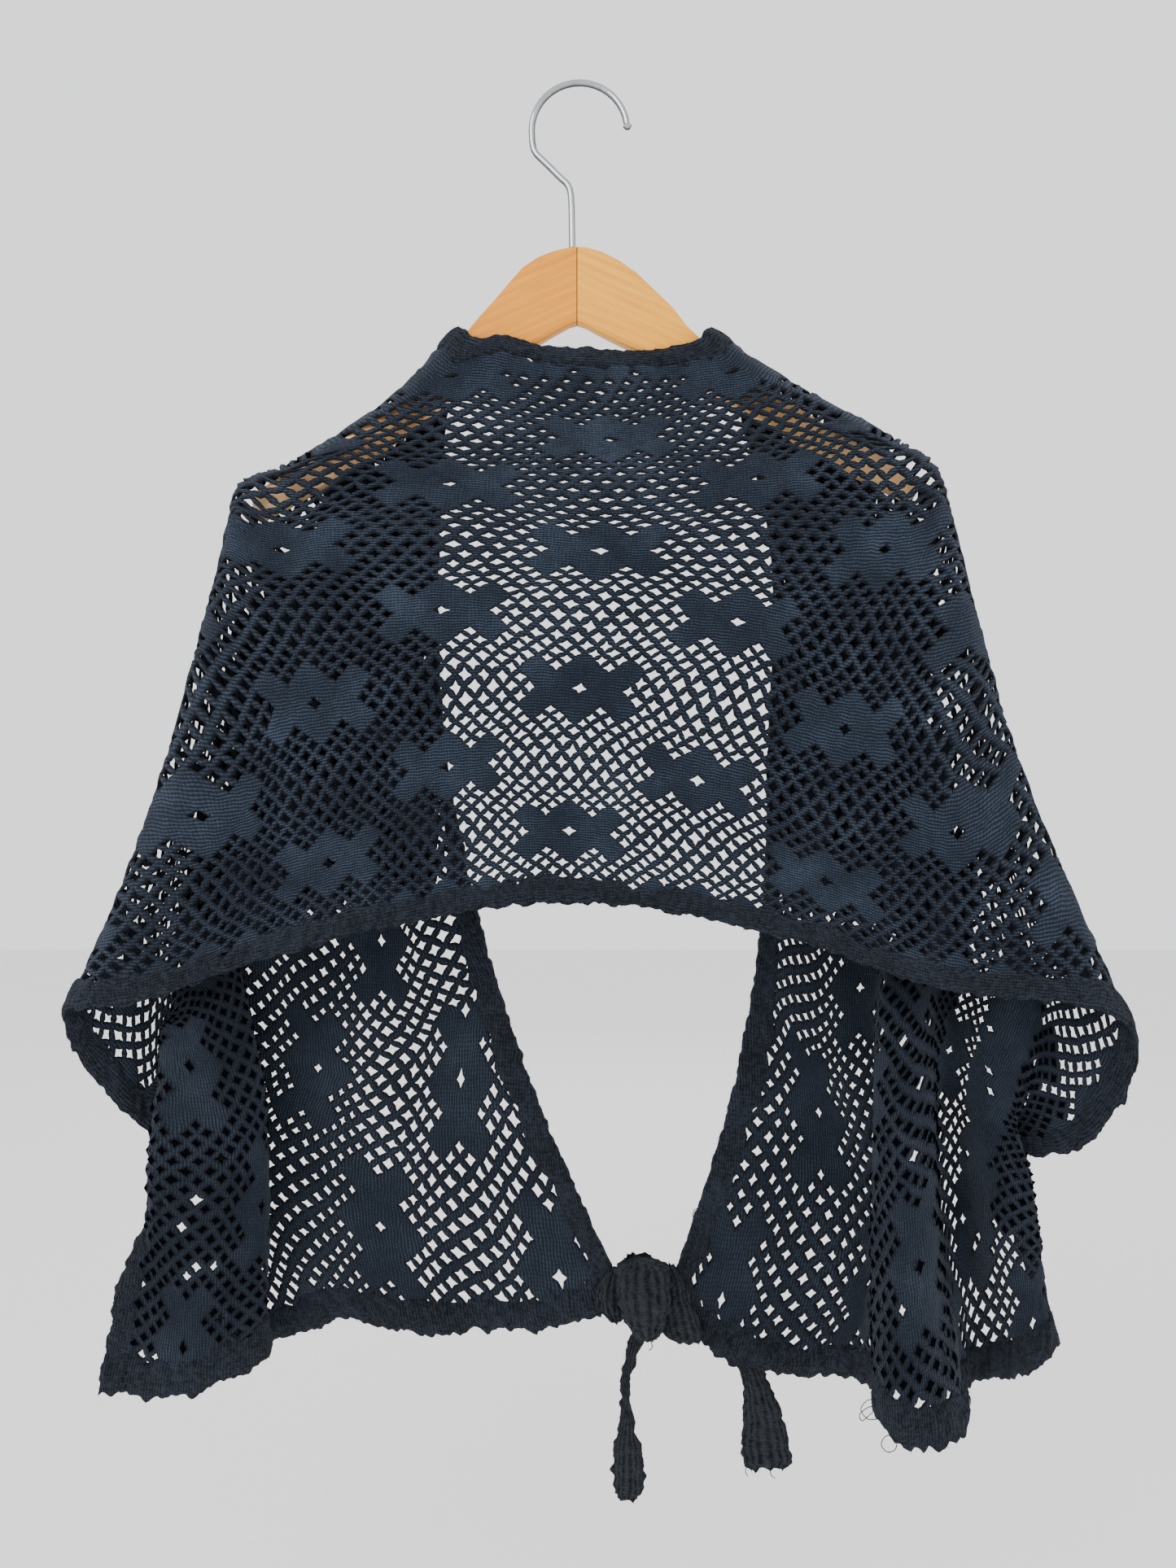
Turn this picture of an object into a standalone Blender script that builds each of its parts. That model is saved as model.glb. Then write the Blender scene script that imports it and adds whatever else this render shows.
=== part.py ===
"""A black lace shawl hanging on a wooden hanger, seen from the back of the garment.

One long cloth covers the shoulders and folds over the hanger's arms. Its two front panels hang
behind and are tied in a knot at the bottom. Sizes are in millimetres and are scaled to metres.
Zero is the point where a peg holds the hook. X is to the right, Y is towards the wall, Z is up.
"""

import bpy
import numpy as np

# Cloth sizes
CLOTH_WIDTH = 370.0
WALL = 2.0
HEM_WALL = 3.6
HEM_WIDTH = 13.0
SEAM_GAP = 1.2
EYELET_LONG = 7.5
EYELET_HIGH = 5.5
FLOWER_STEP = 84.0
FLOWER_DROP = 86.0
FIRST_FLOWER_EVEN = 67.0
FIRST_FLOWER_ODD = 24.0
SHOULDER_SEAM = 1.08
END_SEAM = 1.955

# Hanger sizes
WOOD_THICK = 11.0
WOOD_SEAM_X = -1.5
WOOD_BEND = 6.0
WIRE_RADIUS = 2.0
HOOK_RADIUS = 28.8

# Sections of the cloth from the neck edge to the lower hem. The key is the place along the cloth:
# 0 is the centre back, 1 is the fold over the shoulder and 2 is the end of the front panel.
# Columns: share of the width, x, y, z.
LEFT_SECTIONS = {
    0.0: (
        (0, 5, -9, -161),
        (0.135, 17, -15, -205),
        (0.3, 16, -28, -251),
        (0.53, 7, -22, -322),
        (0.76, -5, -30, -407),
        (1, -4, -42, -487),
    ),
    0.35: (
        (0, -23, -9, -159),
        (0.135, -32, -14, -202),
        (0.3, -55, -20, -246),
        (0.53, -74, -24, -319),
        (0.76, -86, -34, -411),
        (1, -104, -46, -500),
    ),
    0.7: (
        (0, -49, -10, -153),
        (0.135, -79, -12, -199),
        (0.3, -132, -12, -242),
        (0.53, -153, -20, -323),
        (0.76, -167, -30, -426),
        (1, -198, -38, -526),
    ),
    0.9: (
        (0, -63, -10, -155),
        (0.135, -108, -9, -199),
        (0.3, -178, -8, -244),
        (0.53, -200, -10, -319),
        (0.76, -215, -26, -438),
        (1, -264, -38, -547),
    ),
    0.95: (
        (0, -69, -8, -150),
        (0.135, -114, -6, -195),
        (0.24, -173, -5, -232),
        (0.3, -193, -4, -240),
        (0.53, -214, -6, -314),
        (0.76, -237, -20, -438),
        (1, -283, -37, -548),
    ),
    1.0: (
        (0, -76, 5, -147),
        (0.135, -122, 8, -191),
        (0.24, -181, 10, -227),
        (0.3, -208, 10, -238),
        (0.36, -214, 9, -265),
        (0.53, -225, 6, -311),
        (0.76, -256, -8, -438),
        (0.9, -280, -20, -509),
        (1, -298, -28, -551),
    ),
    1.08: (
        (0, -82, 20, -188),
        (0.2, -158, 24, -254),
        (0.4, -212, 18, -323),
        (0.6, -230, 9, -379),
        (0.8, -258, -6, -486),
        (1, -299, -14, -577),
    ),
    1.22: (
        (0, -87, 22, -271),
        (0.2, -151, 24, -339),
        (0.4, -200, 22, -388),
        (0.6, -231, 14, -434),
        (0.8, -252, 4, -520),
        (1, -264, 6, -628),
    ),
    1.455: (
        (0, -81, 20, -412),
        (0.2, -117, 20, -485),
        (0.4, -183, 22, -497),
        (0.55, -225, 14, -504),
        (0.68, -206, 0, -529),
        (0.85, -226, -22, -567),
        (0.93, -247, -10, -576),
        (1, -228, 26, -604),
    ),
    1.6: (
        (0, -63, 20, -499),
        (0.2, -121, 20, -562),
        (0.4, -186, 20, -568),
        (0.52, -225, 14, -572),
        (0.58, -226, 4, -578),
        (0.72, -189, -10, -598),
        (0.87, -225, -25, -627),
        (0.94, -251, -20, -634),
        (1, -239, 6, -656),
    ),
    1.8: (
        (0, -28, 18, -609),
        (0.2, -105, 20, -653),
        (0.4, -189, 20, -655),
        (0.5, -220, 15, -659),
        (0.56, -225, 4, -663),
        (0.7, -185, -10, -685),
        (0.87, -228, -25, -699),
        (1, -265, -24, -702),
    ),
    2.0: (
        (0, 21, 8, -719),
        (0.045, 15, 14, -741),
        (0.1, -11, 18, -753),
        (0.2, -56, 20, -757),
        (0.3, -102, 20, -761),
        (0.41, -143, 20, -751),
        (0.53, -187, 18, -762),
        (0.62, -226, 8, -765),
        (0.74, -184, -12, -758),
        (0.86, -224, -24, -775),
        (1, -279, -26, -773),
    ),
}
RIGHT_SECTIONS = {
    0.35: (
        (0, 32, -9, -163),
        (0.135, 59, -14, -201),
        (0.3, 86, -20, -244),
        (0.53, 94, -24, -326),
        (0.76, 85, -34, -421),
        (1, 107, -48, -504),
    ),
    0.7: (
        (0, 61, -10, -159),
        (0.135, 100, -11, -196),
        (0.3, 154, -11, -235),
        (0.53, 170, -20, -338),
        (0.76, 179, -30, -441),
        (1, 220, -38, -540),
    ),
    0.9: (
        (0, 72, -10, -155),
        (0.135, 126, -9, -190),
        (0.3, 191, -8, -232),
        (0.53, 214, -10, -331),
        (0.76, 233, -26, -442),
        (1, 287, -38, -547),
    ),
    0.95: (
        (0, 75, -8, -150),
        (0.135, 130, -6, -186),
        (0.24, 186, -5, -217),
        (0.3, 204, -4, -229),
        (0.53, 232, -4, -327),
        (0.76, 252, -18, -429),
        (1, 305, -37, -552),
    ),
    1.0: (
        (0, 80, 4, -147),
        (0.135, 137, 8, -181),
        (0.24, 194, 10, -211),
        (0.3, 217, 10, -226),
        (0.36, 225, 9, -252),
        (0.53, 242, 6, -324),
        (0.76, 267, -8, -422),
        (0.9, 296, -20, -501),
        (1, 322, -28, -565),
    ),
    1.08: (
        (0, 97, 18, -187),
        (0.2, 176, 22, -241),
        (0.4, 233, 18, -326),
        (0.6, 248, 8, -401),
        (0.8, 276, -6, -485),
        (1, 323, -22, -595),
    ),
    1.22: (
        (0, 117, 22, -266),
        (0.2, 169, 24, -343),
        (0.4, 225, 20, -401),
        (0.6, 248, 12, -455),
        (0.8, 281, 0, -541),
        (1, 301, -4, -637),
    ),
    1.455: (
        (0, 116, 20, -405),
        (0.2, 156, 20, -505),
        (0.29, 183, 18, -527),
        (0.38, 186, -6, -531),
        (0.45, 205, -6, -534),
        (0.52, 219, 15, -539),
        (0.6, 235, 18, -550),
        (0.68, 242, 2, -567),
        (0.8, 262, 0, -610),
        (1, 251, 24, -651),
    ),
    1.6: (
        (0, 113, 20, -492),
        (0.2, 161, 20, -581),
        (0.28, 180, 18, -590),
        (0.36, 179, -12, -596),
        (0.43, 190, -24, -599),
        (0.5, 208, -10, -595),
        (0.57, 219, 14, -591),
        (0.65, 233, 14, -598),
        (0.75, 245, -6, -619),
        (0.87, 267, -8, -651),
        (1, 255, 16, -674),
    ),
    1.8: (
        (0, 95, 20, -608),
        (0.2, 170, 20, -675),
        (0.26, 179, 8, -681),
        (0.33, 176, -20, -686),
        (0.4, 184, -36, -692),
        (0.47, 204, -30, -689),
        (0.54, 216, 0, -683),
        (0.6, 225, 15, -680),
        (0.67, 238, 12, -683),
        (0.77, 250, -8, -691),
        (0.9, 275, -6, -703),
        (1, 270, 12, -705),
    ),
    2.0: (
        (0, 58, 8, -721),
        (0.045, 63, 13, -748),
        (0.09, 76, 16, -764),
        (0.2, 114, 20, -783),
        (0.325, 170, 20, -787),
        (0.37, 178, 2, -785),
        (0.45, 171, -38, -785),
        (0.53, 193, -48, -794),
        (0.6, 220, -36, -792),
        (0.67, 229, 0, -787),
        (0.73, 241, 16, -787),
        (0.8, 258, 10, -781),
        (0.875, 269, -8, -770),
        (0.96, 286, -4, -756),
        (1, 288, 14, -761),
    ),
}

# Where the fold over the shoulder lies on the flat cloth.
# Columns: distance from the neck edge, distance from the centre back.
LEFT_FOLD = ((0, 78), (50, 130), (111, 188), (153, 203), (196, 222), (282, 276), (370, 336))
RIGHT_FOLD = ((0, 78), (50, 130), (111, 188), (153, 217), (196, 245), (282, 295), (370, 365))

# Where the front panel's end lies on the flat cloth, in the same columns.
PANEL_END = ((-16, 590), (50, 620), (110, 646), (325, 701), (370, 712))

# How far the front edge is cut into the width.
# Columns: place along the cloth, depth of the cut.
LEFT_EDGE = ((0, 0), (1, 0), (1.22, 16), (1.455, 34), (1.6, 45), (1.67, 50), (1.8, 25), (2, -13))
RIGHT_EDGE = ((0, 0), (1, 0), (1.22, 10), (1.455, 20), (1.6, 28), (1.67, 31), (1.8, 17), (2, -16))

# Grid places along the cloth and across it
BACK_PLACES = (0, 0.09, 0.18, 0.27, 0.36, 0.45, 0.54, 0.63, 0.72, 0.8, 0.87, 0.92, 0.95, 0.98, 1.0, 1.02, 1.05)
FRONT_PLACES = (1.13, 1.19, 1.25, 1.31, 1.37, 1.43, 1.49, 1.55, 1.61, 1.67, 1.73, 1.79, 1.85, 1.91)
BACK_ROWS = 21
FRONT_ROWS = 34

# The hanger's arms, from the middle to the end.
# Columns: x, top, bottom.
LEFT_ARM = (
    (-1.8, -97.8, -143.8),
    (-6, -98, -145),
    (-16, -100.5, -150.5),
    (-25, -104, -156),
    (-34, -110, -161),
    (-42, -119, -166),
    (-51, -129.5, -171),
    (-61, -140.5, -177),
    (-70, -151.5, -183),
    (-80, -165, -190),
    (-96, -181.2, -204),
    (-118, -197.2, -219),
    (-150, -217, -239),
    (-178, -233, -254),
    (-192, -241.5, -261),
    (-197, -245.5, -258),
)
RIGHT_ARM = (
    (-1.2, -97.8, -143.8),
    (4, -98, -145.5),
    (13, -100.5, -150.5),
    (24, -106, -156),
    (34, -113, -160.5),
    (45, -123.5, -166),
    (56, -134, -171),
    (64, -144.5, -176),
    (74, -154, -181),
    (86, -164.5, -189),
    (102, -175, -198),
    (125, -189, -211),
    (155, -208, -229),
    (182, -221.5, -242),
    (198, -231, -249),
    (203, -235, -246),
)

# The hook's lower wire, from the arc down to the wood.
# Columns: x, z.
STEM = ((-28.5, -33), (-26.8, -39.8), (-20.5, -46.2), (-11.7, -55), (-6.8, -60), (-4.9, -69), (-4.4, -99))

# The knot, from top to bottom.
# Columns: x, y, z, half width, half depth.
KNOT_RINGS = (
    (39.5, 4, -709, 11, 8),
    (39.7, 2, -714, 16, 13),
    (39.7, 1, -722, 16.8, 15),
    (39.7, 1, -731, 15.6, 15.5),
    (39.7, 2, -741, 13, 14.5),
    (41, 4, -750, 9.5, 12),
    (40.5, 5, -756, 5, 7),
)

# The tails below the knot.
# Columns: x, y, z, half width, half thickness, turn in degrees.
LEFT_TAIL = (
    (36.5, 4.5, -756.4, 3.4, 2.4, 0),
    (31.5, 3, -764, 3.6, 2.2, 15),
    (27.5, 2, -775, 3.6, 2, 40),
    (27.5, 2, -791, 3.2, 2, 75),
    (28.5, 2, -803, 4.6, 2, 30),
    (29, 2, -820, 8, 2, 8),
    (29.5, 2, -838, 9.4, 2.2, -5),
    (29, 3, -852, 8, 2, -10),
)
RIGHT_TAIL = (
    (50, 18.5, -737, 4, 2.2, 60),
    (60, 19.5, -747, 6, 2.2, 25),
    (72, 21.2, -758, 7, 2.2, 12),
    (87, 22.8, -768, 7, 2.2, 8),
    (103, 24.6, -779, 7.4, 2.2, 0),
    (110, 25, -794, 8, 2.2, -5),
    (114, 25, -815, 12, 2, -8),
    (116.5, 24.5, -838, 15, 2.2, -4),
    (117.5, 24.5, -846, 14, 2, 0),
)

MM = 0.001
DARK_CLOTH = (0.03, 0.035, 0.05, 1.0)


def clear_scene():
    for item in list(bpy.data.objects):
        bpy.data.objects.remove(item, do_unlink=True)


def material(name, colour, roughness, metal=0.0):
    made = bpy.data.materials.new(name)
    made.use_nodes = True
    shader = made.node_tree.nodes["Principled BSDF"]
    shader.inputs["Base Color"].default_value = colour
    shader.inputs["Roughness"].default_value = roughness
    shader.inputs["Metallic"].default_value = metal
    made.diffuse_color = colour
    return made


def solid(name, points, faces, look):
    mesh = bpy.data.meshes.new(name)
    mesh.from_pydata([tuple(float(c) * MM for c in p) for p in points], [], faces)
    mesh.validate()
    mesh.materials.append(look)
    made = bpy.data.objects.new(name, mesh)
    bpy.context.scene.collection.objects.link(made)
    return made


def slopes(places, values):
    steps = np.diff(places)[:, None]
    rates = np.diff(values, axis=0) / steps
    found = np.empty_like(values)
    found[1:-1] = (rates[:-1] * steps[1:] + rates[1:] * steps[:-1]) / (steps[1:] + steps[:-1])
    found[0] = rates[0]
    found[-1] = rates[-1]
    return found


def smooth(at, places, values):
    """Points of a smooth curve through the values."""
    rates = slopes(places, values)
    i = np.clip(np.searchsorted(places, at, side="right") - 1, 0, len(places) - 2)
    step = (places[i + 1] - places[i])[:, None]
    q = ((at - places[i])[:, None]) / step
    start = values[i] * (2 * q**3 - 3 * q**2 + 1) + rates[i] * (q**3 - 2 * q**2 + q) * step
    stop = values[i + 1] * (3 * q**2 - 2 * q**3) + rates[i + 1] * (q**3 - q**2) * step
    return start + stop


def section_list():
    """Every section in order from the left end, over the back, to the right end."""
    found = []
    for place in sorted(LEFT_SECTIONS, reverse=True):
        found.append((-place, np.array(LEFT_SECTIONS[place], float)))
    for place in sorted(RIGHT_SECTIONS):
        found.append((place, np.array(RIGHT_SECTIONS[place], float)))
    return found


SECTIONS = section_list()
SECTION_PLACES = np.array([place for place, _ in SECTIONS])


def cloth_points(place, share):
    """Points of the middle of the cloth, for arrays of places along it and shares across it."""
    place, share = np.broadcast_arrays(np.asarray(place, float), np.asarray(share, float))
    flat_place = place.ravel()
    flat_share = share.ravel()
    rows = np.stack([smooth(flat_share, table[:, 0], table[:, 1:]) for _, table in SECTIONS])
    wide = rows.reshape(len(SECTIONS), -1)
    rates = slopes(SECTION_PLACES, wide).reshape(rows.shape)
    i = np.clip(
        np.searchsorted(SECTION_PLACES, flat_place, side="right") - 1, 0, len(SECTIONS) - 2
    )
    n = np.arange(len(flat_place))
    step = (SECTION_PLACES[i + 1] - SECTION_PLACES[i])[:, None]
    q = (flat_place - SECTION_PLACES[i])[:, None] / step
    start = rows[i, n] * (2 * q**3 - 3 * q**2 + 1) + rates[i, n] * (q**3 - 2 * q**2 + q) * step
    stop = rows[i + 1, n] * (3 * q**2 - 2 * q**3) + rates[i + 1, n] * (q**3 - q**2) * step
    return (start + stop).reshape(place.shape + (3,))


def cloth_normals(place, share):
    e = 0.004
    along = cloth_points(place + e, share) - cloth_points(place - e, share)
    low = np.clip(share - e, 0, 1)
    high = np.clip(share + e, 0, 1)
    across = cloth_points(place, high) - cloth_points(place, low)
    normal = np.cross(across, along)
    return normal / np.linalg.norm(normal, axis=-1, keepdims=True)


def column(value, table):
    table = np.array(table, float)
    return np.interp(value, table[:, 0], table[:, 1])


def edge_cut(place):
    left = column(-place, LEFT_EDGE)
    right = column(place, RIGHT_EDGE)
    return np.where(place < 0, left, right)


def flat_place(place, share):
    """Where a point of the cloth lies on the flat cut: along from the centre back, down from the edge."""
    cut = edge_cut(place)
    down = cut + share * (CLOTH_WIDTH - cut)
    fold = np.where(place < 0, column(down, LEFT_FOLD), column(down, RIGHT_FOLD))
    end = column(down, PANEL_END)
    far = np.abs(place)
    along = np.where(far <= 1, fold * far, fold + (end - fold) * (far - 1))
    return np.sign(place) * along, down


def hem_share(place, wide):
    """The share of the width that a hem of this width takes."""
    return wide / (CLOTH_WIDTH - edge_cut(place))


def sheet_solid(name, places, shares, thick, look, holes=()):
    """A closed wall on a grid of the cloth. Holes are (column, row, centre, half sizes) of a cell."""
    place, share = np.array(places, float), np.array(shares, float)
    middle = cloth_points(place, share)
    normal = cloth_normals(place, share)
    front = middle + normal * thick / 2
    back = middle - normal * thick / 2
    columns, rows = place.shape
    points = list(front.reshape(-1, 3)) + list(back.reshape(-1, 3))
    half = columns * rows
    cut = {(c, r): (u, v, du, dv) for c, r, u, v, du, dv in holes}
    faces = []

    def at(c, r, side):
        return side * half + c * rows + r

    for c in range(columns - 1):
        for r in range(rows - 1):
            rim = [(c, r), (c + 1, r), (c + 1, r + 1), (c, r + 1)]
            outer = [[at(a, b, side) for a, b in rim] for side in (0, 1)]
            if (c, r) not in cut:
                faces.append(outer[0][::-1])
                faces.append(outer[1])
                continue
            u, v, du, dv = cut[(c, r)]
            inner = []
            for side, grid in ((0, front), (1, back)):
                ring = []
                for a, b in ((u - du, v - dv), (u + du, v - dv), (u + du, v + dv), (u - du, v + dv)):
                    low = grid[c, r] * (1 - a) + grid[c + 1, r] * a
                    high = grid[c, r + 1] * (1 - a) + grid[c + 1, r + 1] * a
                    ring.append(len(points))
                    points.append(low * (1 - b) + high * b)
                inner.append(ring)
            for i in range(4):
                j = (i + 1) % 4
                faces.append([outer[0][j], outer[0][i], inner[0][i], inner[0][j]])
                faces.append([outer[1][i], outer[1][j], inner[1][j], inner[1][i]])
                faces.append([inner[0][j], inner[0][i], inner[1][i], inner[1][j]])
    around = [(c, 0) for c in range(columns)]
    around += [(columns - 1, r) for r in range(1, rows)]
    around += [(c, rows - 1) for c in range(columns - 2, -1, -1)]
    around += [(0, r) for r in range(rows - 2, 0, -1)]
    for (a, b), (c, d) in zip(around, around[1:] + around[:1]):
        faces.append([at(a, b, 0), at(c, d, 0), at(c, d, 1), at(a, b, 1)])
    return solid(name, points, faces, look)


def flower_places():
    """Where the eyelets of the flowers lie on the flat cloth."""
    found = []
    for m in range(-8, 9):
        first = FIRST_FLOWER_EVEN if m % 2 == 0 else FIRST_FLOWER_ODD
        for n in range(4):
            found.append((m * FLOWER_STEP, first + n * FLOWER_DROP))
    return found


def eyelets(place, share):
    """The cells of a grid that hold a flower's eyelet, with the eyelet's place in the cell."""
    columns, rows = place.shape
    along, down = flat_place(place, share)
    found = []
    for s, t in flower_places():
        for c in range(1, columns - 2):
            for r in range(1, rows - 2):
                ends = along[c : c + 2, r : r + 2]
                drops = down[c : c + 2, r : r + 2]
                left = ends[0].mean()
                right = ends[1].mean()
                top = drops[:, 0].mean()
                low = drops[:, 1].mean()
                if left <= s < right and top <= t < low:
                    du = min(0.3, EYELET_LONG / 2 / (right - left))
                    dv = min(0.3, EYELET_HIGH / 2 / (low - top))
                    u = min(max((s - left) / (right - left), du + 0.12), 0.88 - du)
                    v = min(max((t - top) / (low - top), dv + 0.12), 0.88 - dv)
                    found.append((c, r, u, v, du, dv))
    return found


def grid(places, first, last, rows):
    """A grid from one share to another; each may vary along the cloth."""
    place = np.array(places, float)[:, None] * np.ones((1, rows))
    q = np.linspace(0, 1, rows)[None, :]
    low = np.asarray(first, float).reshape(-1, 1)
    high = np.asarray(last, float).reshape(-1, 1)
    return place, low + (high - low) * q


def gap_in_places(size):
    """A gap along the cloth as a difference of places; the front panel is about 400 mm long."""
    return size / 400.0


def build_panels(look):
    reach = SHOULDER_SEAM - gap_in_places(SEAM_GAP) / 2
    half = list(BACK_PLACES) + [reach]
    places = np.array([-p for p in half[:0:-1]] + half)
    inner = hem_share(places, HEM_WIDTH + SEAM_GAP)
    outer = 1 - inner
    place, share = grid(places, inner, outer, BACK_ROWS)
    sheet_solid("back_and_shoulders", place, share, WALL, look, eyelets(place, share))
    start = SHOULDER_SEAM + gap_in_places(SEAM_GAP) / 2
    stop = END_SEAM - gap_in_places(SEAM_GAP)
    for name, side in (("left_front", -1), ("right_front", 1)):
        run = [start] + list(FRONT_PLACES) + [stop]
        places = np.array(sorted(side * p for p in run))
        inner = hem_share(places, HEM_WIDTH + SEAM_GAP)
        place, share = grid(places, inner, 1 - inner, FRONT_ROWS)
        sheet_solid(name, place, share, WALL, look, eyelets(place, share))


def build_hems(look):
    reach = SHOULDER_SEAM - gap_in_places(SEAM_GAP) / 2
    half = list(BACK_PLACES) + [reach]
    back = np.array([-p for p in half[:0:-1]] + half)
    start = SHOULDER_SEAM + gap_in_places(SEAM_GAP) / 2
    front = [start] + list(FRONT_PLACES) + [END_SEAM - gap_in_places(SEAM_GAP)]
    left = np.array(sorted(-p for p in front))
    right = np.array(front)
    for name, places in (("neck_hem", back), ("left_front_edge", left), ("right_front_edge", right)):
        place, share = grid(places, 0 * places, hem_share(places, HEM_WIDTH), 4)
        sheet_solid(name, place, share, HEM_WALL, look)
    for name, places in (("back_hem", back), ("left_side_hem", left), ("right_side_hem", right)):
        place, share = grid(places, 1 - hem_share(places, HEM_WIDTH), 0 * places + 1, 4)
        sheet_solid(name, place, share, HEM_WALL, look)
    for name, side in (("left_end_hem", -1), ("right_end_hem", 1)):
        places = np.array(sorted((side * END_SEAM, side * 2.0)))
        place, share = grid(places, (0.0, 0.0), (1.0, 1.0), 46)
        sheet_solid(name, place, share, HEM_WALL, look)


def ring_solid(name, rings, look):
    """A closed body through rings of the same count of points."""
    count = len(rings[0])
    points = [p for ring in rings for p in ring]
    faces = []
    for r in range(len(rings) - 1):
        for i in range(count):
            j = (i + 1) % count
            faces.append([r * count + i, r * count + j, (r + 1) * count + j, (r + 1) * count + i])
    faces.append(list(range(count))[::-1])
    faces.append([(len(rings) - 1) * count + i for i in range(count)])
    made = solid(name, points, faces, look)
    volume = 0.0
    for face in faces:
        for i in range(1, len(face) - 1):
            a, b, c = (np.array(points[face[n]], float) for n in (0, i, i + 1))
            volume += np.dot(a, np.cross(b, c))
    if volume < 0:
        made.data.flip_normals()
    return made


def build_knot(look):
    rings = []
    for x, y, z, wide, deep in KNOT_RINGS:
        ring = []
        for i in range(20):
            angle = 2 * np.pi * i / 20
            ridge = 1 + 0.05 * np.cos(3 * angle + z * 0.09)
            ring.append((x + wide * ridge * np.cos(angle), y + deep * ridge * np.sin(angle), z))
        rings.append(ring)
    ring_solid("knot", rings, look)
    for name, rows in (("left_tail", LEFT_TAIL), ("right_tail", RIGHT_TAIL)):
        rings = []
        for x, y, z, wide, thick, turn in rows:
            ring = []
            c, s = np.cos(np.radians(turn)), np.sin(np.radians(turn))
            for i in range(12):
                angle = 2 * np.pi * i / 12
                a, b = wide * np.cos(angle), thick * np.sin(angle)
                ring.append((x + a * c - b * s, y + a * s + b * c, z + 0.12 * a * np.sin(0.1 * z)))
            rings.append(ring)
        ring_solid(name, rings, look)


def build_hanger(wood, steel):
    for name, rows in (("hanger_left", LEFT_ARM), ("hanger_right", RIGHT_ARM)):
        rings = []
        for x, top, low in rows:
            middle = WOOD_BEND * (x / 205.0) ** 2
            near, far = middle - WOOD_THICK / 2, middle + WOOD_THICK / 2
            r = 3.0
            ring = [
                (x, near, low + r),
                (x, near + r * 0.3, low + r * 0.3),
                (x, near + r, low),
                (x, far - r, low),
                (x, far - r * 0.3, low + r * 0.3),
                (x, far, low + r),
                (x, far, top - r),
                (x, far - r * 0.3, top - r * 0.3),
                (x, far - r, top),
                (x, near + r, top),
                (x, near + r * 0.3, top - r * 0.3),
                (x, near, top - r),
            ]
            rings.append(ring)
        ring_solid(name, rings, wood)


def build_hook(steel):
    line = []
    centre = (0.0, -HOOK_RADIUS + WIRE_RADIUS)
    for angle in np.radians(np.arange(8, 190, 9.0)):
        line.append((centre[0] + HOOK_RADIUS * np.cos(angle), centre[1] + HOOK_RADIUS * np.sin(angle)))
    stem = smooth(
        np.linspace(0, len(STEM) - 1, 16),
        np.arange(len(STEM), dtype=float),
        np.array(STEM, float),
    )
    line += [tuple(p) for p in stem]
    line[-1] = (line[-1][0], -97.4)
    line = np.array(line)
    ahead = np.gradient(line, axis=0)
    ahead /= np.linalg.norm(ahead, axis=1, keepdims=True)
    rings = []
    tip_back = line[0] - ahead[0] * 3.0
    spots = [(tip_back, ahead[0], 1.6), (line[0] - ahead[0] * 1.4, ahead[0], 2.7)]
    spots += [(p, d, WIRE_RADIUS) for p, d in zip(line, ahead)]
    for (x, z), (dx, dz), radius in spots:
        ring = []
        for i in range(12):
            angle = 2 * np.pi * i / 12
            side = radius * np.cos(angle)
            ring.append((x + side * dz, radius * np.sin(angle), z - side * dx))
        rings.append(ring)
    ring_solid("hook", rings, steel)


def main():
    clear_scene()
    lace = material("dark_lace", DARK_CLOTH, 0.9)
    band = material("dark_hem", (0.025, 0.03, 0.042, 1.0), 0.95)
    tie = material("dark_tie", (0.028, 0.033, 0.046, 1.0), 0.95)
    wood = material("pale_wood", (0.72, 0.42, 0.16, 1.0), 0.45)
    steel = material("bright_steel", (0.8, 0.8, 0.8, 1.0), 0.2, 1.0)
    build_panels(lace)
    build_hems(band)
    build_knot(tie)
    build_hanger(wood, steel)
    build_hook(steel)


main()
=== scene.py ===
import math

import bpy
import numpy as np
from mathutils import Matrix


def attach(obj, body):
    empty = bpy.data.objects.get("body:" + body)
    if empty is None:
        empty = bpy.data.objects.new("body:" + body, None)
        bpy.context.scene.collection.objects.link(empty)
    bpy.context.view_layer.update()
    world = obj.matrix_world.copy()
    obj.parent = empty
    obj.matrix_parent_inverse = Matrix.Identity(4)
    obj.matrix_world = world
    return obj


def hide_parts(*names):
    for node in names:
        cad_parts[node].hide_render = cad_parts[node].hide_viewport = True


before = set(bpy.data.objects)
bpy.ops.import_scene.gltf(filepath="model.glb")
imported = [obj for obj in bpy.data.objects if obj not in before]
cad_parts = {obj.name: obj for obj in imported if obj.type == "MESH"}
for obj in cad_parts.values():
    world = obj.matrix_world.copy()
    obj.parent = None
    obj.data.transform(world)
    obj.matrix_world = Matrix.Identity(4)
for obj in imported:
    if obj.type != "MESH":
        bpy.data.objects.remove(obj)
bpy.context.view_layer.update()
print("stage: solids loaded")

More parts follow.
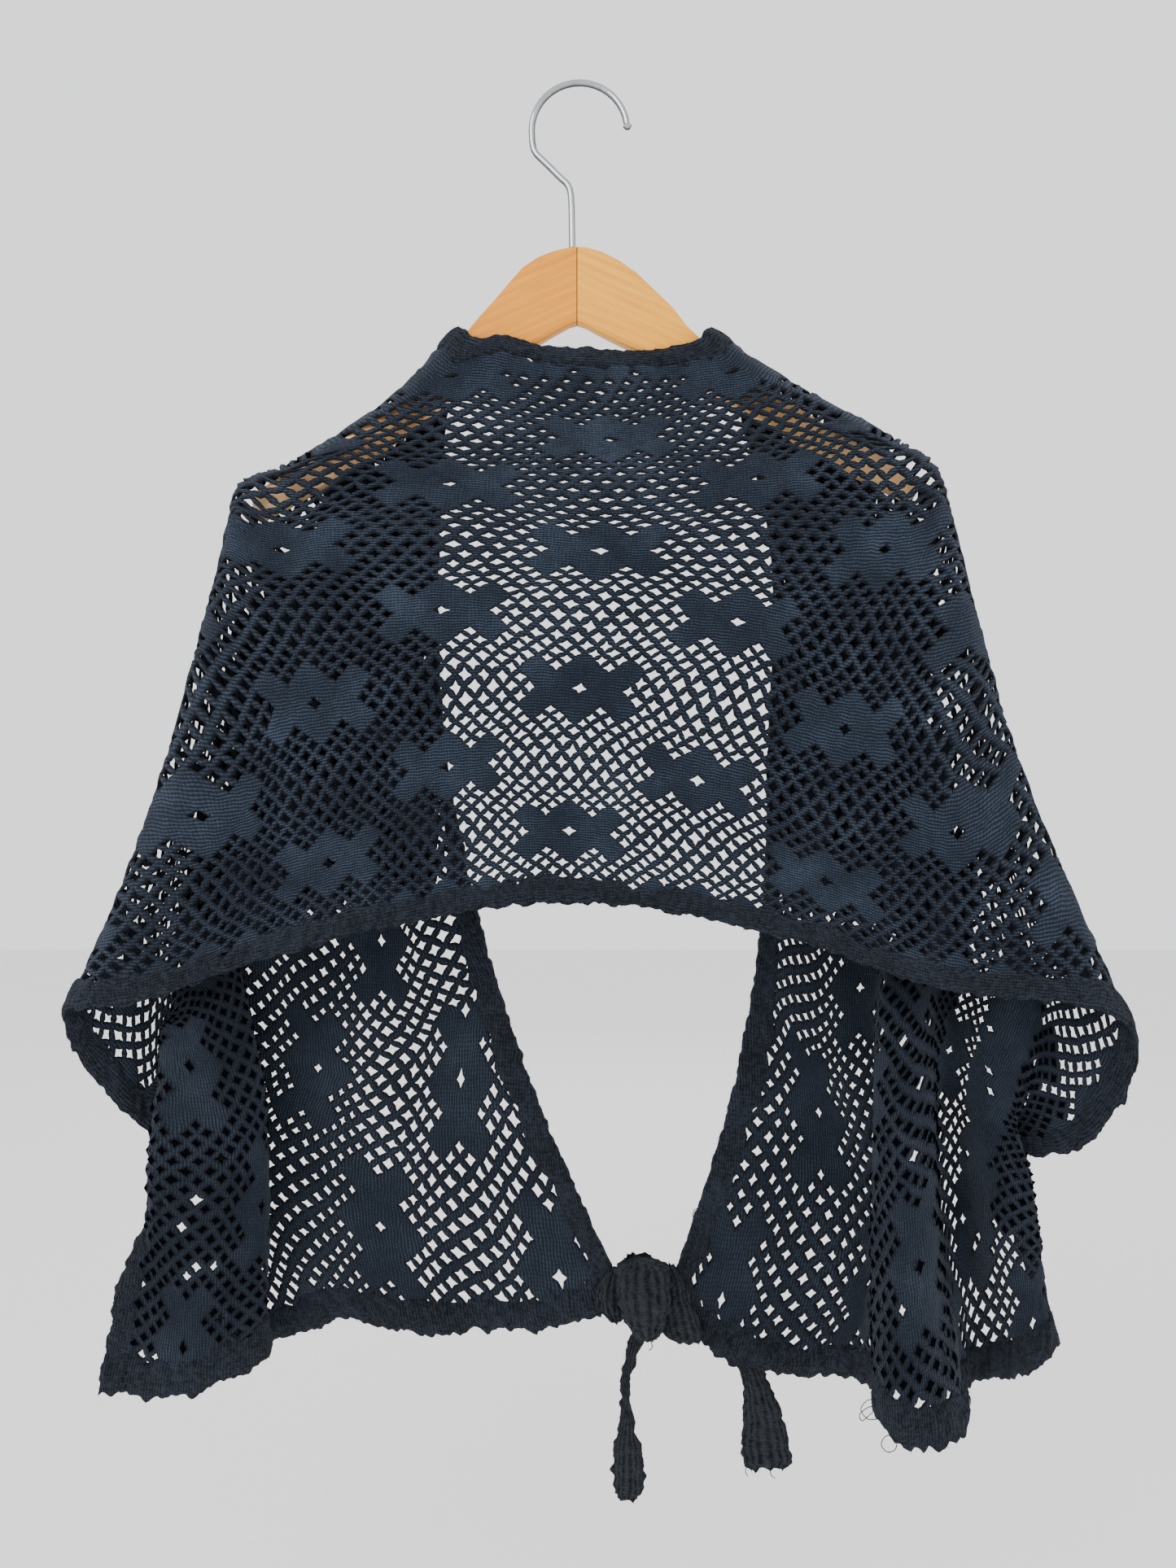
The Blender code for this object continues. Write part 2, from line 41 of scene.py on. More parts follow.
# Sections of the cloth in mm, as in the part. Keys run from 0 at the centre back,
# through 1 at the fold over the shoulder, to 2 at the end of the front panel.
# Columns: share of the width, x, y, z.
leftSections = {
    0.0: (
        (0, 5, -9, -161),
        (0.135, 17, -15, -205),
        (0.3, 16, -28, -251),
        (0.53, 7, -22, -322),
        (0.76, -5, -30, -407),
        (1, -4, -42, -487),
    ),
    0.35: (
        (0, -23, -9, -159),
        (0.135, -32, -14, -202),
        (0.3, -55, -20, -246),
        (0.53, -74, -24, -319),
        (0.76, -86, -34, -411),
        (1, -104, -46, -500),
    ),
    0.7: (
        (0, -49, -10, -153),
        (0.135, -79, -12, -199),
        (0.3, -132, -12, -242),
        (0.53, -153, -20, -323),
        (0.76, -167, -30, -426),
        (1, -198, -38, -526),
    ),
    0.9: (
        (0, -63, -10, -155),
        (0.135, -108, -9, -199),
        (0.3, -178, -8, -244),
        (0.53, -200, -10, -319),
        (0.76, -215, -26, -438),
        (1, -264, -38, -547),
    ),
    0.95: (
        (0, -69, -8, -150),
        (0.135, -114, -6, -195),
        (0.24, -173, -5, -232),
        (0.3, -193, -4, -240),
        (0.53, -214, -6, -314),
        (0.76, -237, -20, -438),
        (1, -283, -37, -548),
    ),
    1.0: (
        (0, -76, 5, -147),
        (0.135, -122, 8, -191),
        (0.24, -181, 10, -227),
        (0.3, -208, 10, -238),
        (0.36, -214, 9, -265),
        (0.53, -225, 6, -311),
        (0.76, -256, -8, -438),
        (0.9, -280, -20, -509),
        (1, -298, -28, -551),
    ),
    1.08: (
        (0, -82, 20, -188),
        (0.2, -158, 24, -254),
        (0.4, -212, 18, -323),
        (0.6, -230, 9, -379),
        (0.8, -258, -6, -486),
        (1, -299, -14, -577),
    ),
    1.22: (
        (0, -87, 22, -271),
        (0.2, -151, 24, -339),
        (0.4, -200, 22, -388),
        (0.6, -231, 14, -434),
        (0.8, -252, 4, -520),
        (1, -264, 6, -628),
    ),
    1.455: (
        (0, -81, 20, -412),
        (0.2, -117, 20, -485),
        (0.4, -183, 22, -497),
        (0.55, -225, 14, -504),
        (0.68, -206, 0, -529),
        (0.85, -226, -22, -567),
        (0.93, -247, -10, -576),
        (1, -228, 26, -604),
    ),
    1.6: (
        (0, -63, 20, -499),
        (0.2, -121, 20, -562),
        (0.4, -186, 20, -568),
        (0.52, -225, 14, -572),
        (0.58, -226, 4, -578),
        (0.72, -189, -10, -598),
        (0.87, -225, -25, -627),
        (0.94, -251, -20, -634),
        (1, -239, 6, -656),
    ),
    1.8: (
        (0, -28, 18, -609),
        (0.2, -105, 20, -653),
        (0.4, -189, 20, -655),
        (0.5, -220, 15, -659),
        (0.56, -225, 4, -663),
        (0.7, -185, -10, -685),
        (0.87, -228, -25, -699),
        (1, -265, -24, -702),
    ),
    2.0: (
        (0, 21, 8, -719),
        (0.045, 15, 14, -741),
        (0.1, -11, 18, -753),
        (0.2, -56, 20, -757),
        (0.3, -102, 20, -761),
        (0.41, -143, 20, -751),
        (0.53, -187, 18, -762),
        (0.62, -226, 8, -765),
        (0.74, -184, -12, -758),
        (0.86, -224, -24, -775),
        (1, -279, -26, -773),
    ),
}
rightSections = {
    0.35: (
        (0, 32, -9, -163),
        (0.135, 59, -14, -201),
        (0.3, 86, -20, -244),
        (0.53, 94, -24, -326),
        (0.76, 85, -34, -421),
        (1, 107, -48, -504),
    ),
    0.7: (
        (0, 61, -10, -159),
        (0.135, 100, -11, -196),
        (0.3, 154, -11, -235),
        (0.53, 170, -20, -338),
        (0.76, 179, -30, -441),
        (1, 220, -38, -540),
    ),
    0.9: (
        (0, 72, -10, -155),
        (0.135, 126, -9, -190),
        (0.3, 191, -8, -232),
        (0.53, 214, -10, -331),
        (0.76, 233, -26, -442),
        (1, 287, -38, -547),
    ),
    0.95: (
        (0, 75, -8, -150),
        (0.135, 130, -6, -186),
        (0.24, 186, -5, -217),
        (0.3, 204, -4, -229),
        (0.53, 232, -4, -327),
        (0.76, 252, -18, -429),
        (1, 305, -37, -552),
    ),
    1.0: (
        (0, 80, 4, -147),
        (0.135, 137, 8, -181),
        (0.24, 194, 10, -211),
        (0.3, 217, 10, -226),
        (0.36, 225, 9, -252),
        (0.53, 242, 6, -324),
        (0.76, 267, -8, -422),
        (0.9, 296, -20, -501),
        (1, 322, -28, -565),
    ),
    1.08: (
        (0, 97, 18, -187),
        (0.2, 176, 22, -241),
        (0.4, 233, 18, -326),
        (0.6, 248, 8, -401),
        (0.8, 276, -6, -485),
        (1, 323, -22, -595),
    ),
    1.22: (
        (0, 117, 22, -266),
        (0.2, 169, 24, -343),
        (0.4, 225, 20, -401),
        (0.6, 248, 12, -455),
        (0.8, 281, 0, -541),
        (1, 301, -4, -637),
    ),
    1.455: (
        (0, 116, 20, -405),
        (0.2, 156, 20, -505),
        (0.285, 183, 18, -527),
        (0.4, 186, -6, -531),
        (0.46, 205, -6, -534),
        (0.53, 219, 15, -539),
        (0.605, 235, 18, -550),
        (0.685, 242, 2, -567),
        (0.8, 262, 0, -610),
        (1, 251, 24, -651),
    ),
    1.6: (
        (0, 113, 20, -492),
        (0.2, 161, 20, -581),
        (0.275, 180, 18, -590),
        (0.4, 179, -12, -596),
        (0.455, 190, -24, -599),
        (0.52, 208, -10, -595),
        (0.585, 219, 14, -591),
        (0.655, 233, 14, -598),
        (0.76, 245, -6, -619),
        (0.875, 267, -8, -651),
        (1, 255, 16, -674),
    ),
    1.8: (
        (0, 95, 20, -608),
        (0.2, 170, 20, -675),
        (0.235, 179, 8, -681),
        (0.425, 176, -20, -686),
        (0.475, 184, -36, -692),
        (0.54, 204, -30, -689),
        (0.6, 216, 0, -683),
        (0.65, 225, 15, -680),
        (0.72, 238, 12, -683),
        (0.81, 250, -8, -691),
        (0.905, 275, -6, -703),
        (1, 270, 12, -705),
    ),
    2.0: (
        (0, 58, 8, -721),
        (0.045, 63, 13, -748),
        (0.09, 76, 16, -764),
        (0.2, 114, 20, -783),
        (0.325, 170, 20, -787),
        (0.37, 178, 2, -785),
        (0.45, 171, -38, -785),
        (0.53, 193, -48, -794),
        (0.6, 220, -36, -792),
        (0.67, 229, 0, -787),
        (0.73, 241, 16, -787),
        (0.8, 258, 10, -781),
        (0.875, 269, -8, -770),
        (0.96, 286, -4, -756),
        (1, 288, 14, -761),
    ),
}
cloth = {
    "width": 370.0,
    "wall": 2.4,
    "hemWide": 13.0,
    "hemThick": 4.6,
    "cellAlong": 5.6,
    "cellDown": 86.0 / 18,
    "firstRow": 67.0,
    "seam": 1.08,
    "facing": 1.0,
    "endSeam": 1.955,
    "gather": {"from": 84.0, "to": 232.0, "low": -505.0, "slope": 0.5, "shut": 0.5},
    "leftFold": ((0, 78), (50, 130), (111, 188), (153, 203), (196, 222), (282, 276), (370, 336)),
    "rightFold": ((0, 78), (50, 130), (111, 188), (153, 217), (196, 245), (282, 295), (370, 365)),
    "panelEnd": ((-16, 590), (50, 620), (110, 646), (325, 701), (370, 712)),
    "leftEdge": ((0, 0), (1, 0), (1.22, 16), (1.455, 34), (1.6, 45), (1.67, 50), (1.8, 25), (2, -13)),
    "rightEdge": ((0, 0), (1, 0), (1.22, 10), (1.455, 20), (1.6, 28), (1.67, 31), (1.8, 17), (2, -16)),
}


def slopes(places, values):
    steps = np.diff(places)[:, None]
    rates = np.diff(values, axis=0) / steps
    found = np.empty_like(values)
    found[1:-1] = (rates[:-1] * steps[1:] + rates[1:] * steps[:-1]) / (steps[1:] + steps[:-1])
    found[0] = rates[0]
    found[-1] = rates[-1]
    return found


def smooth(at, places, values):
    rates = slopes(places, values)
    i = np.clip(np.searchsorted(places, at, side="right") - 1, 0, len(places) - 2)
    step = (places[i + 1] - places[i])[:, None]
    q = ((at - places[i])[:, None]) / step
    start = values[i] * (2 * q**3 - 3 * q**2 + 1) + rates[i] * (q**3 - 2 * q**2 + q) * step
    stop = values[i + 1] * (3 * q**2 - 2 * q**3) + rates[i + 1] * (q**3 - q**2) * step
    return start + stop


sections = [(-k, np.array(leftSections[k], float)) for k in sorted(leftSections, reverse=True)]
sections += [(k, np.array(rightSections[k], float)) for k in sorted(rightSections)]
sectionPlaces = np.array([k for k, _ in sections])


# A point on the middle of the cloth, from its place along (k) and its share across (w)
def clothPoints(k, w):
    k, w = np.broadcast_arrays(np.asarray(k, float), np.asarray(w, float))
    shape = k.shape
    k, w = k.ravel(), w.ravel()
    rows = np.stack([smooth(w, table[:, 0], table[:, 1:]) for _, table in sections])
    rates = slopes(sectionPlaces, rows.reshape(len(sections), -1)).reshape(rows.shape)
    i = np.clip(np.searchsorted(sectionPlaces, k, side="right") - 1, 0, len(sections) - 2)
    n = np.arange(len(k))
    step = (sectionPlaces[i + 1] - sectionPlaces[i])[:, None]
    q = (k - sectionPlaces[i])[:, None] / step
    start = rows[i, n] * (2 * q**3 - 3 * q**2 + 1) + rates[i, n] * (q**3 - 2 * q**2 + q) * step
    stop = rows[i + 1, n] * (3 * q**2 - 2 * q**3) + rates[i + 1, n] * (q**3 - q**2) * step
    return (start + stop).reshape(shape + (3,))


def clothNormals(k, w):
    e = 0.004
    along = clothPoints(k + e, w) - clothPoints(k - e, w)
    across = clothPoints(k, np.clip(w + e, 0, 1)) - clothPoints(k, np.clip(w - e, 0, 1))
    normal = np.cross(across, along)
    return normal / np.maximum(np.linalg.norm(normal, axis=-1, keepdims=True), 1e-9)


def column(value, table):
    table = np.array(table, float)
    return np.interp(value, table[:, 0], table[:, 1])


def edgeCut(k):
    return np.where(k < 0, column(-k, cloth["leftEdge"]), column(k, cloth["rightEdge"]))


# From the flat cut (s along, t down from the neck edge) to place and share
def onCloth(s, t):
    fold = np.where(s < 0, column(t, cloth["leftFold"]), column(t, cloth["rightFold"]))
    end = column(t, cloth["panelEnd"])
    far = np.abs(s)
    k = np.where(far <= fold, far / fold, 1 + (far - fold) / (end - fold))
    k = np.sign(s) * k
    cut = edgeCut(k)
    return k, (t - cut) / (cloth["width"] - cut)


def onFlat(k, w):
    cut = edgeCut(k)
    t = cut + w * (cloth["width"] - cut)
    fold = np.where(k < 0, column(t, cloth["leftFold"]), column(t, cloth["rightFold"]))
    end = column(t, cloth["panelEnd"])
    far = np.abs(k)
    s = np.where(far <= 1, fold * far, fold + (end - fold) * (far - 1))
    return np.sign(k) * s, t


def hemShare(k, wide):
    return wide / (cloth["width"] - edgeCut(k))


def meshPiece(name, points, faces, uv=None, weights=None, rim=None):
    mesh = bpy.data.meshes.new(name)
    mesh.from_pydata((np.asarray(points) * 0.001).tolist(), [], faces)
    made = bpy.data.objects.new(name, mesh)
    bpy.context.scene.collection.objects.link(made)
    if uv is not None:
        layer = mesh.uv_layers.new(name="cloth")
        corner = np.zeros(len(mesh.loops), np.int32)
        mesh.loops.foreach_get("vertex_index", corner)
        layer.data.foreach_set("uv", (np.asarray(uv)[corner] * 0.001).astype(np.float32).ravel())
    if weights is not None:
        group = made.vertex_groups.new(name="wall")
        for value in np.unique(weights):
            group.add(np.nonzero(weights == value)[0].tolist(), float(value), "REPLACE")
    # rim marks the points at the holes' rims, where the finish paints shade
    if rim is not None:
        mesh.attributes.new("rim", "FLOAT", "POINT").data.foreach_set("value", np.asarray(rim, np.float32))
    mesh.polygons.foreach_set("use_smooth", [True] * len(mesh.polygons))
    return made


# Holes: their size beside the cell, the neck's drawn-up rows (t, along, down), how much more
# they open on the arms' ends, the stretches of the fronts that are drawn tight (k from, w from
# and to, size), and their pleats that another layer of cloth lies behind (k and w from and to,
# what closes the holes, and the share of them). Kinds 1 and 3 close a hole with a near-black
# sheet: painted shade for the shaded cloth behind it.
holes = {
    "size": {"laceBack": (0.70, 0.51), "front": (0.54, 0.55)},
    "neck": (
        (10, 0.5, 0.22),
        (30, 0.85, 0.30),
        (60, 0.96, 0.38),
        (95, 1.0, 0.37),
        (125, 1.0, 0.48),
        (160, 1.0, 0.72),
        (195, 0.97, 0.98),
        (230, 0.92, 1.08),
        (360, 0.86, 1.10),
    ),
    "onArm": (0.1, 1.1),
    "tight": (
        ("laceRight", 1.45, 0.04, 0.33, 0.76),
        ("laceLeft", 1.45, 0.26, 0.46, 0.74),
    ),
    "lined": (
        ("laceLeft", 1.3, 1.93, 0.74, 0.97, 1, 0.95),
        ("laceLeft", 1.25, 1.66, 0.46, 0.74, 1, 0.97),
        ("laceRight", 1.28, 1.955, 0.385, 0.6, 1, 0.96),
        ("laceRight", 1.25, 1.88, 0.69, 0.79, 2, 0.92),
        ("laceRight", 1.25, 1.78, 0.79, 0.97, 1, 0.92),
    ),
}

# The flower chart: solid cells by their steps along and down from the eyelet
flower = {
    "cells": {
        (i, j)
        for j, row in ((0, (2, 4)), (1, (1, 3, 5)), (2, (0, 2, 4, 6)), (3, (1, 5)), (4, (0,)))
        for i in [a * b for a in row for b in (-1, 1)]
        for j in (-j, j)
    },
    "across": 15,
    "down": 18,
    "pull": {"along": 0.08, "down": 0.17, "reachAlong": 40.0, "reachDown": 25.0, "start": 0.9, "stop": 2.3},
}


def isSolid(i, j):
    m = round(i / flower["across"])
    for nearby in (m - 1, m, m + 1):
        shift = 0 if nearby % 2 == 0 else 9
        di = i - nearby * flower["across"]
        dj = (j - shift + 9) % flower["down"] - 9
        if (di, dj) in flower["cells"] or (di, -dj) in flower["cells"]:
            return True
    return False


def isEyelet(i, j):
    if i % flower["across"]:
        return False
    shift = 0 if (i // flower["across"]) % 2 == 0 else 9
    return (j - shift) % flower["down"] == 0


# The knit flowers draw in and the net between them stretches
def drawnIn(s, t):
    pull = flower["pull"]
    near = np.round(s / 84.0)
    moveS, moveT = np.zeros_like(s), np.zeros_like(t)
    for m in (near - 1, near, near + 1):
        first = np.where(m % 2 == 0, 67.0, 24.0)
        row = np.round((t - first) / 86.0)
        for n in (row - 1, row, row + 1):
            ds, dt = s - 84.0 * m, t - first - 86.0 * n
            far = np.hypot(ds / pull["reachAlong"], dt / pull["reachDown"])
            q = np.clip((far - pull["start"]) / (pull["stop"] - pull["start"]), 0, 1)
            fall = 1 - q * q * (3 - 2 * q)
            moveS -= pull["along"] * ds * fall
            moveT -= pull["down"] * dt * fall
    return s + moveS, t + moveT


# Where the fronts hang gathered behind the back, their net closes up, with near-black sheets of painted shade in the
# holes
def gathered(spots):
    zone = cloth["gather"]
    side = np.abs(spots[:, 0])
    inside = np.clip((side - zone["from"]) / 8, 0, 1) * np.clip((zone["to"] - side) / 22, 0, 1)
    low = zone["low"] - np.clip(side - 150, 0, 100) * zone["slope"]
    return inside * np.clip((spots[:, 2] - low) / 20, 0, 1)


# How far the holes open along and down, and what closes them: 0 open, 1 a near-black sheet
# close behind, 2 shut, 3 a near-black sheet close in front. The near-black sheets are painted
# shade, standing for shaded layers of cloth.
def opening(name, k, w, t, spots, draw):
    size = holes["size"]["laceBack" if name == "laceBack" else "front"]
    along = np.full(len(k), size[0])
    down = np.full(len(k), size[1])
    state = np.zeros(len(k), int)
    if name == "laceBack":
        along *= column(t, [(a, b) for a, b, c in holes["neck"]])
        down *= column(t, [(a, c) for a, b, c in holes["neck"]])
        onArm = np.clip((np.abs(k) - 0.35) / 0.3, 0, 1) * np.clip((t - 40) / 15, 0, 1) * np.clip((135 - t) / 15, 0, 1)
        along *= 1 + holes["onArm"][0] * onArm
        down *= 1 + holes["onArm"][1] * onArm
        state[draw.uniform(10, 24, len(k)) > t] = 2
        return along, down, state
    state[gathered(spots) > draw.uniform(0.15, 0.9, len(k))] = 3
    for side, kFrom, kTo, wFrom, wTo, kind, share in holes["lined"]:
        if side != name:
            continue
        far = np.abs(k)
        inside = (far > kFrom) & (far < kTo) & (w > wFrom) & (w < wTo)
        state[inside & (draw.uniform(0, 1, len(k)) < share) & (state == 0)] = kind
    along[state % 2 == 1] *= 0.8
    down[state % 2 == 1] *= 0.8
    for side, kFrom, wFrom, wTo, share in holes["tight"]:
        drawn = (side == name) & (np.abs(k) > kFrom) & (w > wFrom) & (w < wTo)
        along[drawn] *= share
        down[drawn] *= share
    return along, down, state


# A net of diamond cells between two places along the cloth. Strands are thick in the
# middle and thin at the rim of each hole.
def laceMesh(name, firstPlace, lastPlace, seed, finish):
    draw = np.random.default_rng(seed)
    da, dd = cloth["cellAlong"], cloth["cellDown"]
    reach = int(730 / da)
    grid = [(i, j) for i in range(-reach, reach + 1) for j in range(-20, 68) if (i + j) % 2 == 0]
    grid = np.array(grid)
    k, w = onCloth(*drawnIn(grid[:, 0] * da, cloth["firstRow"] + grid[:, 1] * dd))
    edge = hemShare(k, cloth["hemWide"] - 3)
    endPlace = cloth["endSeam"] + 0.024
    inside = (w > edge - 0.004) & (w < 1 - edge + 0.004) & (np.abs(k) < endPlace)
    inside &= (k >= firstPlace) & (k < lastPlace)
    cells = grid[inside]
    k, w = k[inside], w[inside]
    middles = clothPoints(k, np.clip(w, 0, 1))
    along, down, state = opening(name, k, w, onFlat(k, w)[1], middles, draw)
    points, uses, weights = {}, [], []

    def point(a, b, weight):
        key = (round(a, 3), round(b, 3))
        if key not in points:
            points[key] = len(uses)
            uses.append(key)
            weights.append(round(weight, 2))
        return points[key]

    faces, depths, deep = [], {}, []
    for (i, j), fa, fd, kind in zip(cells.tolist(), along.tolist(), down.tolist(), state.tolist()):
        corners = ((i + 1, j), (i, j + 1), (i - 1, j), (i, j - 1))
        ring = []
        for n in range(4):
            a, b = corners[n], corners[(n + 1) % 4]
            ring.append(point(a[0], a[1], draw.uniform(0.9, 1.0)))
            ring.append(point((a[0] + b[0]) / 2, (a[1] + b[1]) / 2, draw.uniform(0.8, 0.98)))
        if isSolid(i, j) or kind == 2:
            middle = point(i, j, 0.86)
            depths[middle] = draw.uniform(-0.3, 0.3) if isSolid(i, j) else draw.uniform(-1.3, 0.9)
            for n in range(4):
                faces.append((middle, ring[(2 * n - 1) % 8], ring[2 * n], ring[2 * n + 1]))
            continue
        if isEyelet(i, j):
            fa, fd = fa * 1.5, fd * 1.3
        inner = []
        for n in range(4):
            a, b = corners[n], corners[(n + 1) % 4]
            for (x, y), f in ((a, 1.07), (((a[0] + b[0]) / 2, (a[1] + b[1]) / 2), 0.86)):
                f *= draw.uniform(0.88, 1.12)
                inner.append(point(i + (x - i) * f * fa, j + (y - j) * f * fd, draw.uniform(0.36, 0.5)))
        for n in range(8):
            m = (n + 1) % 8
            faces.append((ring[n], ring[m], inner[m], inner[n]))
        # A closed hole gets a near-black sheet in laceShade: painted shade for the shaded cloth behind it
        if kind:
            middle = point(i, j, 0.3)
            for n in inner:
                depths[n] = -1.5 if kind == 1 else 0.5
            depths[middle] = -2.8 if kind == 1 else 0.9
            for n in range(4):
                deep.append(len(faces))
                faces.append((middle, inner[(2 * n - 1) % 8], inner[2 * n], inner[2 * n + 1]))
    uses = np.array(uses)
    s, t = drawnIn(uses[:, 0] * da, cloth["firstRow"] + uses[:, 1] * dd)
    # hand-made unevenness, the same for points that are near each other
    sway = 0.35 * np.sin(s * 0.41 + t * 0.17) + 0.3 * np.sin(s * 0.13 - t * 0.53 + 1.7)
    rise = 0.3 * np.sin(s * 0.23 + t * 0.37 + 0.6) + 0.25 * np.sin(s * 0.61 - t * 0.19)
    k, w = onCloth(s + sway, t + rise)
    edge = hemShare(k, cloth["hemWide"] - 3)
    w = np.clip(w, edge, 1 - edge)
    k = np.clip(k, -endPlace, endPlace)
    spots = clothPoints(k, w)
    lift = 0.35 * np.sin(s * 0.9) * np.sin(t * 0.8) + draw.uniform(-0.42, 0.42, len(s))
    for n, depth in depths.items():
        lift[n] += depth
    spots = spots + clothNormals(k, w) * lift[:, None] * cloth["facing"]
    weights = np.array(weights)
    # the thin rim points carry painted shade in the finish
    made = meshPiece(name, spots, faces, np.stack([s, t], 1), weights, (weights < 0.6) * 1.0)
    shadeSlot = np.zeros(len(faces), np.int32)
    shadeSlot[deep] = 1
    made.data.materials.append(finish)
    made.data.materials.append(paintedShadeMaterial)
    made.data.polygons.foreach_set("material_index", shadeSlot)
    wall = made.modifiers.new("wall", "SOLIDIFY")
    wall.thickness = cloth["wall"] * 0.001
    wall.offset = 0.0
    wall.vertex_group = "wall"
    wall.use_rim = True
    return made, len(cells) * 2 * da * dd * 1e-6


hem = {"around": 20, "step": 1.6}
fuzz = {
    "hems": {"count": 14000, "short": 0.8, "long": 2.4, "thick": 0.24, "spread": 0.55, "back": 1.0},
    "laces": {"count": 24000, "short": 1.2, "long": 2.3, "thick": 0.26, "spread": 0.6, "back": -1.0},
}


# A doubled hem: rounded and lumpy, with small picots along its free edge
def hemMesh(name, path, wide, thick, lump, picot, seed):
    draw = np.random.default_rng(seed)
    kind, first, last = path
    fine = np.linspace(first, last, 1500)
    run = clothPoints(*hemPlace(kind, fine, np.full(len(fine), 0.05), wide))
    gone = np.concatenate([[0], np.cumsum(np.linalg.norm(np.diff(run, axis=0), axis=1))])
    count = int(gone[-1] / hem["step"])
    q = np.interp(np.linspace(0, gone[-1], count), gone, fine)
    around = hem["around"]
    angle = np.arange(around) * 2 * np.pi / around
    out = np.sign(np.cos(angle)) * np.abs(np.cos(angle)) ** 0.7
    up = np.sign(np.sin(angle)) * np.abs(np.sin(angle)) ** 0.8
    swell = 1 + 0.07 * bumps(count, 6, draw) + 0.05 * bumps(count, 2, draw)
    inward = (0.5 + 0.5 * out)[None, :] * swell[:, None]
    k, w = hemPlace(kind, q[:, None] + 0 * inward, inward, wide)
    spots = clothPoints(k, np.clip(w, -0.004, 1.004))
    normal = clothNormals(k, np.clip(w, 0, 1))
    deep = thick / 2 * (1 + 0.12 * bumps(count, 7, draw))
    lumps = surfaceNoise(count, around, draw) * lump
    spots = spots + normal * (up[None, :] * deep[:, None])[..., None]
    middle = spots.mean(axis=1, keepdims=True)
    away = spots - middle
    away /= np.maximum(np.linalg.norm(away, axis=2, keepdims=True), 1e-6)
    spots = spots + away * lumps[..., None]
    edge = clothPoints(*hemPlace(kind, q, np.zeros(count), wide))
    deeper = clothPoints(*hemPlace(kind, q, np.full(count, 0.6), wide))
    edgeOut = (edge - deeper) / np.linalg.norm(edge - deeper, axis=1, keepdims=True)
    knobs = np.clip(bumps(count, 1.5, draw) + 0.3, 0, 1.6) * picot
    free = np.clip(-out - 0.4, 0, None)[None, :] / 0.6
    spots = spots + edgeOut[:, None, :] * (free * knobs[:, None])[..., None]
    s, t = onFlat(k, np.clip(w, 0, 1))
    return tubeMesh(name, spots, np.stack([s, t], -1))


# The place of a point of a hem, from its run q and its share in from the free edge
def hemPlace(kind, q, inward, wide):
    if kind == "inner":
        return q, inward * hemShare(q, wide)
    if kind == "outer":
        return q, 1 - inward * hemShare(q, wide)
    sign = 1 if kind == "rightEnd" else -1
    flat = np.clip(q, 0, 1)
    span = clothPoints(np.full_like(flat, sign * 2.0), flat) - clothPoints(np.full_like(flat, sign * 1.96), flat)
    return sign * (2 - inward * wide * 0.04 / np.linalg.norm(span, axis=-1)), flat


def bumps(count, size, draw):
    noise = draw.standard_normal(count + 60)
    reach = np.arange(-20, 21)
    kernel = np.exp(-((reach / size) ** 2))
    kernel /= np.sqrt((kernel**2).sum())
    return np.convolve(noise, kernel, "same")[30 : 30 + count]


def surfaceNoise(rows, around, draw):
    noise = draw.standard_normal((rows, around))
    total = np.zeros_like(noise)
    reach = np.arange(-6, 7)
    for size, share in ((0.9, 0.6), (2.0, 0.6)):
        kernel = np.exp(-((reach / size) ** 2))
        kernel /= np.sqrt((kernel**2).sum())
        soft = np.apply_along_axis(lambda a: np.convolve(a, kernel, "same"), 0, noise)
        wrapped = np.concatenate([soft[:, -6:], soft, soft[:, :6]], axis=1)
        soft = np.apply_along_axis(lambda a: np.convolve(a, kernel, "same"), 1, wrapped)
        total += share * soft[:, 6:-6]
    return total


def tubeMesh(name, spots, flat):
    rows, around = spots.shape[:2]
    n = np.arange(rows * around).reshape(rows, around)
    sides = np.stack([n[:-1], np.roll(n[:-1], -1, 1), np.roll(n[1:], -1, 1), n[1:]], -1)
    faces = sides.reshape(-1, 4).tolist()
    faces.append(n[0, ::-1].tolist())
    faces.append(n[-1].tolist())
    made = meshPiece(name, spots.reshape(-1, 3), faces, flat.reshape(-1, 2))
    faceOut(made)
    return made


def faceOut(made):
    mesh = made.data
    mesh.calc_loop_triangles()
    corner = np.zeros(len(mesh.loop_triangles) * 3, np.int32)
    mesh.loop_triangles.foreach_get("vertices", corner)
    place = np.zeros(len(mesh.vertices) * 3, np.float32)
    mesh.vertices.foreach_get("co", place)
    place = place.reshape(-1, 3).astype(float)
    place -= place.mean(0)
    a, b, c = (place[corner.reshape(-1, 3)[:, n]] for n in range(3))
    if (a * np.cross(b, c)).sum() < 0:
        mesh.flip_normals()


